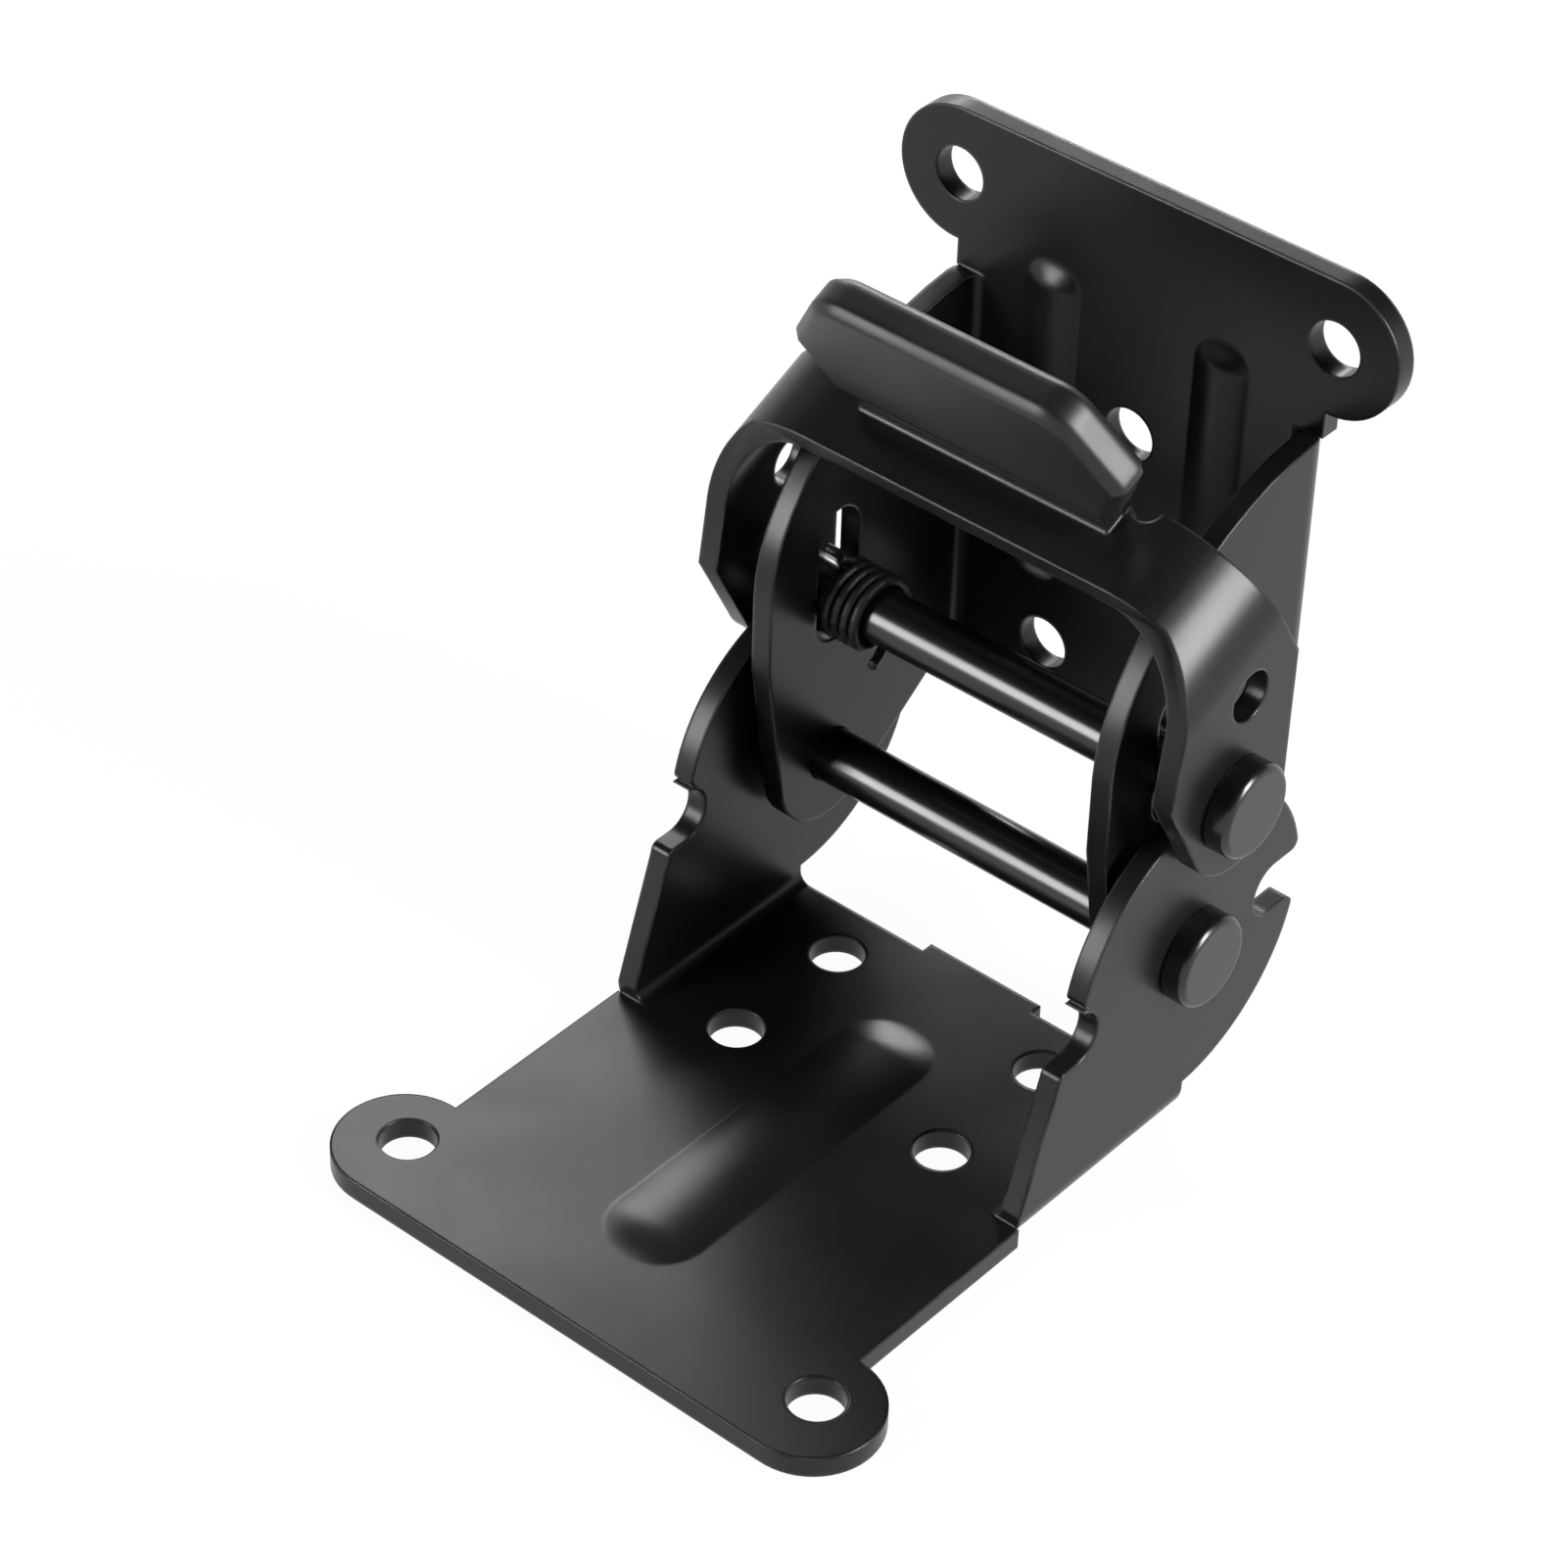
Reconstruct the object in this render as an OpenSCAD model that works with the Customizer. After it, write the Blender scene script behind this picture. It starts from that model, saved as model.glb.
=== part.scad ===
// Folding table leg hinge: a base bracket, a leg bracket that swings on a pivot
// pin, and a pull lever whose lock pin drops into notches of the base bracket.
// Modelled opened to a right angle, with the lock pin lifted onto the notched rim.
// X runs along the pins, Y points away from the base ear holes, Z is up.

/* [Sheet metal] */
// Thickness of the sheet of both brackets
sheet_t = 2; // [1.6:0.1:2.4]
// Inside radius of the bends between plate and flanges
bend_r = 1.2; // [0.8:0.1:1.8]
// Thickness of the strap that the lever is bent from
lever_t = 2; // [1.6:0.1:2.2]

/* [Pivot] */
// Distance from the base ear holes to the pivot axis, along the plate
pivot_y = 47.8; // [45:0.1:52]
// Height of the pivot axis over the inner face of either plate
pivot_rise = 16.8; // [16.2:0.1:18]
// Diameter of the pivot pin
pivot_d = 5; // [4:0.1:6]
// Diameter of the pin heads
head_d = 8.6; // [7.6:0.1:9.4]
// Height of the pin heads
head_h = 2.4; // [1.5:0.1:3]
// Bevel round the pin heads
head_edge = 0.4; // [0.2:0.1:0.6]
// Gap between a pin and the holes that it turns in
pin_clear = 0.05; // [0.02:0.01:0.1]

/* [Base bracket] */
// Gap between the flanges of the two brackets, where the spacers sit
spacer_gap = 1.4; // [1:0.1:2.4]
// Play of a spacer between the two flanges
spacer_play = 0.1; // [0.04:0.02:0.2]
// Plate length in front of the ear holes
base_front = 6.8; // [6.4:0.1:8]
// Distance of the ear holes outside the flanges
ear_hole_out = 0.2; // [0:0.1:1.2]
// Reach of the ears outside the flanges
base_ear_out = 6.4; // [5.8:0.1:7.4]
// Radius of the rounded ears
base_ear_r = 6.2; // [5.6:0.1:6.4]
// Diameter of every screw hole
screw_d = 5; // [4:0.1:5.4]
// Distance between the two rows of inner screw holes, across the plate
base_hole_x = 23.1; // [22:0.1:26]
// Distance from the ear holes to the first inner screw holes
base_hole_y1 = 29.4; // [28:0.1:31]
// Distance from the ear holes to the second inner screw holes
base_hole_y2 = 43; // [40:0.1:44]
// Plate behind the pivot axis
base_rear = 0.6; // [0.2:0.1:0.8]
// Width of the small rear tab
tab_w = 12.4; // [8:0.1:16]
// Length of the small rear tab
tab_l = 1.2; // [0.6:0.1:1.2]
// Radius of the notched discs
disc_r = 15; // [14.6:0.1:15.2]
// Flange foot in front of the pivot axis
foot_front = 21.6; // [20:0.1:23]
// Flange shoulder in front of the pivot axis, at the lower lip of the front notch
shoulder_front = 17.5; // [16.6:0.1:18.5]

/* [Notches] */
// Clearance of the lock pin in its notches and slots, on each side
lock_clear = 0.15; // [0.1:0.01:0.25]
// Radius at the bottom of the front notch, for the folded position
notch_front_r = 12.7; // [12.2:0.1:12.8]
// Radius at the bottom of the top notch, for the right angle
notch_top_r = 11.1; // [10:0.1:12.7]
// Radius at the bottom of the rear notch, for the flat position
notch_rear_r = 8.8; // [8.2:0.1:12.7]
// Rounding at the mouth of each notch
notch_lip = 0.8; // [0.3:0.1:1]

/* [Leg bracket] */
// Width over the two flanges
leg_w = 38.2; // [37:0.1:38.6]
// Distance from the pivot axis to the ear holes
leg_ear_y = 50.8; // [49:0.1:54]
// Distance between the two ear holes
leg_ear_pitch = 38.6; // [38:0.1:42]
// Radius of the rounded ears
leg_ear_r = 6.3; // [5:0.1:6.4]
// Distance from the pivot axis to the single middle hole
leg_mid_y = 33.4; // [30:0.1:35]
// Distance from the pivot axis to the pair of lower holes
leg_low_y = 7.8; // [6.8:0.1:8.4]
// Distance between the two lower holes
leg_low_pitch = 14.7; // [13:0.1:16]
// Distance from the pivot axis to the plate's lower edge
leg_edge_y = 3.4; // [3.2:0.1:4]
// Distance from the pivot axis to the top of the flanges
leg_flange_y = 42; // [41:0.1:43]
// Radius of the flange ends round the pivot
leg_end_r = 6.6; // [5.5:0.1:7.5]
// Reach of the flanges past the pivot axis, towards the lever
leg_reach = 8.7; // [8:0.1:9]
// Distance from the pivot axis to the start of the flanges' straight front edge
leg_nose_y1 = 13.3; // [12.6:0.1:14]
// Distance from the pivot axis to the end of the flanges' straight front edge
leg_nose_y2 = 21; // [20:0.1:23]

/* [Beads] */
// Width of the bead pressed into the base plate
base_bead_w = 9.6; // [8:0.1:11]
// Height of the bead of the base plate
base_bead_h = 1.1; // [0.8:0.1:1.5]
// Distance from the ear holes to the near end of the base bead
base_bead_y1 = 1.6; // [1:0.1:4]
// Distance from the ear holes to the far end of the base bead
base_bead_y2 = 40; // [34:0.1:41]
// Width of the two beads of the leg bracket
leg_bead_w = 5.8; // [5:0.1:7]
// Height of the two beads of the leg bracket
leg_bead_h = 1.4; // [0.8:0.1:1.5]
// Distance between the two beads of the leg bracket
leg_bead_pitch = 17.6; // [16:0.1:19]
// Distance from the pivot axis to the near ends of the leg beads
leg_bead_y1 = 14; // [13:0.1:20]
// Distance from the pivot axis to the far ends of the leg beads
leg_bead_y2 = 47; // [40:0.1:48]

/* [Lever] */
// Diameter of the lock pin
lock_d = 5; // [4.6:0.1:5.2]
// Distance from the pivot axis to the lock pin when it is seated in a notch
lock_in_r = 15.35; // [15.3:0.05:15.6]
// Gap between the lifted lock pin and the disc rim
lock_lift_gap = 0.1; // [0.05:0.01:0.2]
// Further travel of the lock pin away from the rim
lock_pull = 4; // [3:0.1:4]
// Length of the leg slots past the full travel of the lock pin
slot_room = 2; // [1:0.1:3]
// Gap between the lever arms and the base flanges
arm_gap = 0.7; // [0.3:0.1:0.9]
// Radius of the arm ends
arm_end_r = 6.2; // [5.6:0.1:6.4]
// Offset of the middle of the arm ends from the lock pin, away from the base ears
arm_end_y = 0.9; // [0:0.1:1.2]
// Offset of the middle of the arm ends below the lock pin
arm_end_z = 1.2; // [0:0.1:1.4]
// Front elbow of the arms, in front of the lock pin
elbow_front_y = 8.8; // [8:0.1:9.2]
// Height of the front elbow over the lock pin
elbow_front_z = 3.8; // [3:0.1:5]
// Rear elbow of the arms, behind the lock pin
elbow_rear_y = 7.2; // [6.8:0.1:7.6]
// Height of the rear elbow over the lock pin
elbow_rear_z = 11.6; // [10.6:0.1:12.6]
// Outside radius of the bends between arms and band
band_bend_r = 9.4; // [6:0.1:10]
// Width of the band that joins the arms
band_w = 8.2; // [7.4:0.1:8.8]
// Lean of the lever's pull direction towards the base ears, in degrees
lever_lean = 25; // [20:0.5:30]
// Height of the middle of the band's outer face over the lock pin
band_out = 22.4; // [21.8:0.1:23.4]
// Offset of the band's middle towards the base ears
band_fwd = 3.7; // [3:0.1:4.2]
// Diameter of the spare hole in each arm
spare_d = 4.7; // [3:0.1:5.2]
// Height of the spare hole over the lock pin
spare_z = 10.3; // [9.8:0.1:11.2]
// Offset of the spare hole behind the lock pin
spare_y = 0.9; // [0:0.1:1.4]

/* [Grip] */
// Width of the sheet tongue inside the grip
tongue_w = 25.8; // [24:0.1:26.2]
// Offset of the tongue's rear face from the rear edge of the band
tongue_in = 1.5; // [1.2:0.1:1.8]
// Length of the grip over the end of the tongue
tongue_short = 3.6; // [3.4:0.1:5]
// Inside radius of the bend between band and tongue
tongue_bend_r = 0.6; // [0.4:0.1:1]
// Radius of the relief cuts on both sides of the tongue
relief_r = 1.4; // [1:0.1:1.6]
// Length of the grip along the pull direction
grip_l = 13.3; // [12.4:0.1:14]
// Thickness of the grip
grip_t = 4; // [3.8:0.1:4.4]
// Width of the grip at its tip
grip_tip_w = 24.8; // [23:0.1:27]
// Rounding of the grip's two tip corners
grip_tip_r = 4; // [2:0.1:4.6]
// Rounding of the grip's other corners
grip_edge_r = 1; // [0.9:0.1:1.4]
// Largest width of the grip
grip_w = 33.6; // [33:0.1:36]
// Width of the grip at its foot
grip_foot_w = 29; // [28.6:0.1:31]
// Height of the grip's widest place over its foot
grip_wide_z = 5.8; // [4.4:0.1:6]
// Bevel along the edges of the grip's two faces
grip_bevel = 0.8; // [0.4:0.1:0.8]
// Gap between the band and the grip
grip_gap = 2.7; // [2.4:0.1:3.2]

/* [Spring] */
// Wire thickness of the torsion spring
wire_d = 0.9; // [0.7:0.05:1]
// Turns of the torsion spring
spring_turns = 4; // [3:1:5]
// Gap between the spring coil and the lock pin
spring_clear = 0.3; // [0.2:0.05:0.6]
// Gap between the turns of the spring coil
turn_gap = 0.12; // [0.05:0.01:0.2]
// Gap between the spring coil and the flange beside it
spring_side = 0.25; // [0.15:0.05:0.5]

/* [Hidden] */
$fn = 96;
eps = 0.01;
pivot_z = sheet_t + pivot_rise;
base_w = leg_w + 2 * (sheet_t + spacer_gap);
base_ear_pitch = base_w + 2 * ear_hole_out;
base_ear_x = base_w / 2 + base_ear_out - base_ear_r;
bend_out = bend_r + sheet_t;
lock_out_r = disc_r + lock_d / 2 + lock_lift_gap;
slot_w = lock_d + 2 * lock_clear;
arm_x = base_w / 2 + arm_gap + lever_t;
leg_edge_step = 1;
tongue_rear = band_w / 2 - tongue_in;
tongue_front = tongue_rear - lever_t;
seat = 0.05;
over = 1;
coil_r = lock_d / 2 + spring_clear + wire_d / 2;

// Puts a profile drawn in the (Y, Z) plane on edge, with its thickness along X
module across(t) {
    rotate([90, 0, 90]) linear_extrude(t) children();
}

module mirrored_x() {
    children();
    mirror([1, 0, 0]) children();
}

// Point where the line from p meets a circle of radius r round the origin, almost
// tangent to it: it lies a hair inside, so that line and circle truly cross
function touch(p, r, side) =
    let (d = norm(p), a = atan2(p[1], p[0]) + side * acos(r / d))
    (r - 2 * eps) * [cos(a), sin(a)];

// A cubic curve from a to d that leaves a towards b and meets d from c
function curve(a, b, c, d, steps = 14) = [
    for (i = [0:steps])
        let (t = i / steps, u = 1 - t)
        u * u * u * a + 3 * u * u * t * b + 3 * u * t * t * c + t * t * t * d
];

// A raised bead from y1 to y2 on the plane z = 0, as wide as w, or the groove under it
module bead(w, h, y1, y2, inset = 0) {
    big_r = (w * w / 4 + h * h) / (2 * h);
    r = big_r - inset;
    translate([0, 0, h - big_r]) {
        translate([0, y1 + w / 2, 0]) rotate([-90, 0, 0]) cylinder(r = r, h = y2 - y1 - w);
        translate([0, y1 + w / 2, 0]) sphere(r = r);
        translate([0, y2 - w / 2, 0]) sphere(r = r);
    }
}

module bead_metal(w, h, y1, y2) {
    intersection() {
        bead(w, h, y1, y2);
        translate([-w, y1 - w, -sheet_t / 2]) cube([2 * w, y2 - y1 + 2 * w, sheet_t + h]);
    }
}

module bead_groove(w, h, y1, y2) {
    intersection() {
        bead(w, h, y1, y2, sheet_t);
        translate([-w, y1 - w, -2 * sheet_t]) cube([2 * w, y2 - y1 + 2 * w, 2 * sheet_t + h]);
    }
}

// A round-bottomed notch that opens outwards along +X of the profile, with rounded
// lips on the given sides
module notch(bottom_r, sides = [-1, 1]) {
    half = slot_w / 2;
    lip_x = sqrt(pow(disc_r - notch_lip, 2) - pow(half + notch_lip, 2));
    lip = [lip_x, half + notch_lip];
    lip_out = lip * (disc_r + over) / norm(lip);
    translate([bottom_r + half, 0]) circle(r = half);
    translate([bottom_r + half, -half]) square([2 * disc_r, slot_w]);
    for (side = sides) scale([1, side]) difference() {
        polygon([[lip_x, half - eps], [disc_r + over, half - eps], lip_out, lip]);
        translate(lip) circle(r = notch_lip);
    }
}

// The bend between a plate and its right-hand flange, from y1 to y2, on plane z = 0.
// It runs a little way into both of them.
module bend(w, y1, y2) {
    translate([w / 2 - bend_out, y2, bend_r]) rotate([90, 0, 0]) linear_extrude(y2 - y1) {
        difference() {
            intersection() {
                circle(r = bend_out);
                translate([0, -bend_out]) square(bend_out);
            }
            circle(r = bend_r);
        }
        translate([-over, -bend_out]) square([over + eps, sheet_t]);
        translate([bend_r, -eps]) square([sheet_t, 2 * eps]);
    }
}

// Side view of a base flange, with the pivot axis at the origin
module base_flange_profile() {
    lip = [notch_lip - shoulder_front, -slot_w / 2 - notch_lip];
    foot = bend_r - pivot_rise;
    difference() {
        union() {
            circle(r = disc_r);
            translate(lip) circle(r = notch_lip);
            polygon([
                [-foot_front, foot], [base_rear, foot], [base_rear, 0],
                [lip[0], 0], lip, [-shoulder_front, lip[1]]
            ]);
        }
        circle(d = pivot_d + 2 * pin_clear);
        rotate(180) notch(notch_front_r, [-1]);
        rotate(90) notch(notch_top_r);
        notch(notch_rear_r);
    }
}

// Outline of the base plate, with the ear holes on y = 0
module base_plate_profile() {
    flat = base_w / 2 - bend_out;
    difference() {
        union() {
            translate([-base_w / 2, -base_front])
                square([base_w, pivot_y - foot_front + base_front]);
            translate([-flat, -base_front])
                square([2 * flat, pivot_y + base_rear + base_front]);
            translate([-tab_w / 2, 0]) square([tab_w, pivot_y + base_rear + tab_l]);
            mirrored_x() base_ear();
        }
        mirrored_x() {
            translate([base_ear_pitch / 2, 0]) circle(d = screw_d);
            translate([base_hole_x / 2, base_hole_y1]) circle(d = screw_d);
            translate([base_hole_x / 2, base_hole_y2]) circle(d = screw_d);
        }
    }
}

// A rounded ear whose front runs on in the plate's front edge
module base_ear() {
    translate([base_ear_x, base_ear_r - base_front]) circle(r = base_ear_r);
}

module base_bracket() {
    color([0.08, 0.08, 0.085]) {
        difference() {
            union() {
                linear_extrude(sheet_t) base_plate_profile();
                translate([0, 0, sheet_t])
                    bead_metal(base_bead_w, base_bead_h, base_bead_y1, base_bead_y2);
            }
            translate([0, 0, sheet_t])
                bead_groove(base_bead_w, base_bead_h, base_bead_y1, base_bead_y2);
        }
        mirrored_x() {
            translate([0, 0, sheet_t])
                bend(base_w, pivot_y - foot_front, pivot_y + base_rear);
            translate([base_w / 2 - sheet_t, pivot_y, pivot_z])
                across(sheet_t) base_flange_profile();
        }
    }
}

// Side view of a leg flange: X is the distance from the pivot along the plate,
// Y is the height over the pivot axis, away from the plate
module leg_flange_profile() {
    foot = bend_r - pivot_rise;
    front_touch = touch([leg_nose_y1, leg_reach], leg_end_r, 1);
    rear_touch = touch([leg_edge_y, foot], leg_end_r, -1);
    crest = leg_nose_y2 + 0.45 * (leg_flange_y - leg_nose_y2);
    brow = leg_flange_y - 0.05 * (leg_flange_y - leg_nose_y2);
    fall = curve(
        [leg_nose_y2, leg_reach], [crest, leg_reach],
        [brow, leg_reach - 0.45 * (leg_reach - foot)], [leg_flange_y, foot]
    );
    difference() {
        union() {
            circle(r = leg_end_r);
            polygon(concat(
                [[0, 0], front_touch, [leg_nose_y1, leg_reach]], fall, [[leg_edge_y, foot], rear_touch]
            ));
        }
        circle(d = pivot_d + 2 * pin_clear);
        round_slot(lock_in_r, lock_out_r + lock_pull + slot_room);
    }
}

// A straight slot along X with round ends centred at r1 and r2
module round_slot(r1, r2) {
    translate([r1, 0]) circle(d = slot_w);
    translate([r2, 0]) circle(d = slot_w);
    translate([r1, -slot_w / 2]) square([r2 - r1, slot_w]);
}

module leg_plate_profile() {
    flat = leg_w / 2 - bend_out;
    top = leg_ear_y + leg_ear_r;
    difference() {
        union() {
            translate([-flat, leg_edge_y]) square([2 * flat, top - leg_edge_y]);
            translate([-tab_w / 2, leg_edge_y - leg_edge_step]) square([tab_w, 2 * leg_edge_step]);
            translate([-leg_w / 2, leg_flange_y]) square([leg_w, top - leg_flange_y]);
            mirrored_x() translate([leg_ear_pitch / 2, leg_ear_y]) circle(r = leg_ear_r);
        }
        mirrored_x() {
            translate([leg_ear_pitch / 2, leg_ear_y]) circle(d = screw_d);
            translate([leg_low_pitch / 2, leg_low_y]) circle(d = screw_d);
        }
        translate([0, leg_mid_y]) circle(d = screw_d);
    }
}

module leg_bracket_flat() {
    difference() {
        union() {
            translate([0, 0, -sheet_t]) linear_extrude(sheet_t) leg_plate_profile();
            mirrored_x() translate([leg_bead_pitch / 2, 0, 0])
                bead_metal(leg_bead_w, leg_bead_h, leg_bead_y1, leg_bead_y2);
        }
        mirrored_x() translate([leg_bead_pitch / 2, 0, 0])
            bead_groove(leg_bead_w, leg_bead_h, leg_bead_y1, leg_bead_y2);
    }
    mirrored_x() {
        bend(leg_w, leg_edge_y, leg_flange_y);
        translate([leg_w / 2 - sheet_t, 0, pivot_rise]) across(sheet_t) leg_flange_profile();
    }
}

module leg_bracket() {
    color([0.08, 0.08, 0.085])
        translate([0, pivot_y, pivot_z]) rotate([90, 0, 0])
            translate([0, 0, -pivot_rise]) leg_bracket_flat();
}

// A pin along X with a flat head on the outer face of what it holds, at both ends
module headed_pin(d, grip_x) {
    rotate([90, 0, 90]) cylinder(d = d, h = 2 * grip_x + head_h, center = true);
    mirrored_x() translate([grip_x, 0, 0]) rotate([90, 0, 90]) rotate_extrude()
        polygon([
            [0, 0], [head_d / 2, 0], [head_d / 2, head_h - head_edge],
            [head_d / 2 - head_edge, head_h], [0, head_h]
        ]);
}

module pivot_pin() {
    color([0.1, 0.1, 0.105])
        translate([0, pivot_y, pivot_z]) headed_pin(pivot_d, base_w / 2);
}

module pivot_spacer(side) {
    color([0.3, 0.3, 0.3])
        translate([side * (leg_w / 2 + spacer_gap / 2), pivot_y, pivot_z]) rotate([0, 90, 0])
            difference() {
                cylinder(d = head_d, h = spacer_gap - spacer_play, center = true);
                cylinder(d = pivot_d + 2 * pin_clear, h = 2 * spacer_gap, center = true);
            }
}

module pivot_spacer_left() {
    pivot_spacer(-1);
}

module pivot_spacer_right() {
    pivot_spacer(1);
}

// Side view of the lever, with the lock pin at the origin. The band's two edges are
// cut square to the sheet.
module lever_profile() {
    along = [cos(lever_lean), sin(lever_lean)];
    up = [-sin(lever_lean), cos(lever_lean)];
    middle = [-band_fwd, band_out];
    front = middle - along * band_w / 2;
    rear = middle + along * band_w / 2;
    elbow_front = [-elbow_front_y, elbow_front_z];
    elbow_rear = [elbow_rear_y, elbow_rear_z];
    end = [arm_end_y, -arm_end_z];
    difference() {
        union() {
            translate(end) circle(r = arm_end_r);
            polygon([
                end, end + touch(elbow_rear - end, arm_end_r, -1), elbow_rear,
                rear - lever_t * up, rear, front, front - lever_t * up,
                elbow_front, end + touch(elbow_front - end, arm_end_r, 1)
            ]);
        }
        circle(d = lock_d + 2 * pin_clear);
        translate([spare_y, spare_z]) circle(d = spare_d);
    }
}

// End view of the lever strap, looking along the band: the band's outer face is on Y = 0
module strap_section() {
    inner_r = band_bend_r - lever_t;
    depth = band_out + 2 * arm_end_r;
    difference() {
        union() {
            translate([-arm_x, -depth]) square([2 * arm_x, depth - band_bend_r]);
            translate([-arm_x + band_bend_r, -band_bend_r])
                square([2 * (arm_x - band_bend_r), band_bend_r]);
            mirrored_x() translate([arm_x - band_bend_r, -band_bend_r]) circle(r = band_bend_r);
        }
        translate([-arm_x + lever_t, -depth - over])
            square([2 * (arm_x - lever_t), depth + over - band_bend_r]);
        translate([-arm_x + band_bend_r, -depth])
            square([2 * (arm_x - band_bend_r), depth - lever_t]);
        mirrored_x() translate([arm_x - band_bend_r, -band_bend_r]) circle(r = inner_r);
    }
}

// Turns the lever's own axes, X across, Y along the band's width and Z along the pull,
// with the origin at the middle of the band's outer face
module on_band() {
    translate([0, -band_fwd, band_out]) rotate([lever_lean, 0, 0]) children();
}

// Side view of the tongue that is bent up out of the band, rounded at both sides of
// its bend
module tongue_profile() {
    inner = [tongue_front - tongue_bend_r, tongue_bend_r];
    outer_r = lever_t + tongue_bend_r;
    difference() {
        translate([tongue_front, -lever_t])
            square([lever_t, lever_t + grip_gap + grip_l - tongue_short]);
        difference() {
            translate(inner - [0, outer_r + over]) square(outer_r + over);
            translate(inner) circle(r = outer_r + eps);
        }
    }
    difference() {
        translate([inner[0], -lever_t / 2])
            square([tongue_bend_r + lever_t / 2, lever_t / 2 + tongue_bend_r]);
        translate(inner) circle(r = tongue_bend_r + eps);
    }
}

module tongue() {
    translate([-tongue_w / 2, 0, 0]) across(tongue_w) tongue_profile();
}

// Room behind the tongue, with a round relief cut on each side of it
module tongue_room() {
    translate([0, 0, -lever_t - over]) linear_extrude(lever_t + 2 * over) {
        translate([-tongue_w / 2, tongue_rear]) square([tongue_w, tongue_in + over]);
        mirrored_x() translate([tongue_w / 2 + relief_r - seat, band_w / 2]) circle(r = relief_r);
    }
}

module release_lever() {
    color([0.08, 0.08, 0.085]) translate([0, pivot_y, pivot_z + lock_out_r]) {
        difference() {
            intersection() {
                translate([-2 * arm_x, 0, 0]) across(4 * arm_x) lever_profile();
                on_band() translate([0, 2 * arm_x, 0])
                    rotate([90, 0, 0]) linear_extrude(4 * arm_x) strap_section();
            }
            on_band() tongue_room();
        }
        on_band() tongue();
    }
}

// Face of the grip, inset by shrink
module grip_outline(shrink) {
    slope = atan2(grip_l - grip_wide_z, (grip_w - grip_tip_w) / 2);
    tip_x = grip_tip_w / 2 - grip_tip_r * tan(slope / 2);
    hull() mirrored_x() {
        translate([tip_x, grip_l - grip_tip_r]) circle(r = grip_tip_r - shrink);
        translate([grip_w / 2 - grip_edge_r, grip_wide_z]) circle(r = grip_edge_r - shrink);
        translate([grip_foot_w / 2 - grip_edge_r, grip_edge_r]) circle(r = grip_edge_r - shrink);
    }
}

// The moulded grip, bevelled round both faces
module grip_body() {
    front = tongue_front + lever_t / 2 - grip_t / 2;
    translate([0, front + grip_t, grip_gap]) rotate([90, 0, 0]) hull() {
        translate([0, 0, grip_bevel]) linear_extrude(grip_t - 2 * grip_bevel) grip_outline(0);
        linear_extrude(grip_t) grip_outline(grip_bevel);
    }
}

module lever_grip() {
    deep = grip_gap + grip_l - tongue_short + seat;
    color([0.13, 0.13, 0.135]) translate([0, pivot_y, pivot_z + lock_out_r]) on_band()
        difference() {
            grip_body();
            translate([-tongue_w / 2 - seat, tongue_front - seat, 0])
                cube([tongue_w + 2 * seat, lever_t + 2 * seat, deep]);
        }
}

module lock_pin() {
    color([0.1, 0.1, 0.105])
        translate([0, pivot_y, pivot_z + lock_out_r]) headed_pin(lock_d, arm_x);
}

function unit(v) = v / norm(v);
function tangent(pts, i) = unit(pts[min(i + 1, len(pts) - 1)] - pts[max(i - 1, 0)]);
function carried(pts, n, i = 0) =
    i == len(pts) ? [] :
    let (t = tangent(pts, i), m = unit(n - (n * t) * t))
    concat([m], carried(pts, m, i + 1));

// A round wire along pts, with sides flat faces
module wire(pts, d, sides) {
    normals = carried(pts, [0.1, 0.7, 0.7]);
    count = len(pts);
    rings = [
        for (i = [0:count - 1])
            let (t = tangent(pts, i), n = normals[i], b = cross(t, n))
            for (k = [0:sides - 1])
                pts[i] + d / 2 * (cos(360 * k / sides) * n + sin(360 * k / sides) * b)
    ];
    walls = [
        for (i = [0:count - 2]) for (k = [0:sides - 1])
            let (a = i * sides + k, b = i * sides + (k + 1) % sides)
            [a, a + sides, b + sides, b]
    ];
    first = [for (k = [0:sides - 1]) k];
    last = [for (k = [sides - 1:-1:0]) (count - 1) * sides + k];
    polyhedron(rings, concat([first, last], walls));
}

// The coil sits on the lock pin beside the left leg flange. One leg hooks into
// the flange slot, the other ends under the pin.
module lock_spring() {
    steps = 20;
    pitch = wire_d + turn_gap;
    x0 = -leg_w / 2 + sheet_t + wire_d / 2 + spring_side;
    rise = coil_r + wire_d / 4;
    coil = [
        for (i = [0:spring_turns * steps + steps / 2])
            let (a = 90 - 360 * i / steps)
            [x0 + pitch * i / steps, coil_r * cos(a), coil_r * sin(a)]
    ];
    hook = [
        [x0 - sheet_t - wire_d / 4, wire_d / 3, rise + wire_d / 3],
        [x0 - wire_d, wire_d / 3, rise + wire_d / 4],
        [x0 - wire_d / 3, wire_d / 8, rise + wire_d / 8]
    ];
    end = coil[len(coil) - 1];
    tail = [
        end + wire_d * [0.45, -1.35, -0.35], end + wire_d * [0.9, -2.7, -0.2]
    ];
    color([0.2, 0.2, 0.21]) translate([0, pivot_y, pivot_z + lock_out_r])
        wire(concat(hook, [for (i = [1:len(coil) - 1]) coil[i]], tail), wire_d, 8);
}

base_bracket();
leg_bracket();
pivot_pin();
pivot_spacer_left();
pivot_spacer_right();
release_lever();
lever_grip();
lock_pin();
lock_spring();
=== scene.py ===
"""Folding table leg hinge in black painted steel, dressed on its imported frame.

Brackets, lever, pins and grip are made from their own solids, with soft beads and
rounded edges. The spacers and the spring keep their meshes and get a finish.
"""

from __future__ import annotations

import logging
import math
from dataclasses import dataclass
from enum import Enum

import bmesh
import bpy
from mathutils import Matrix, Vector


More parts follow.
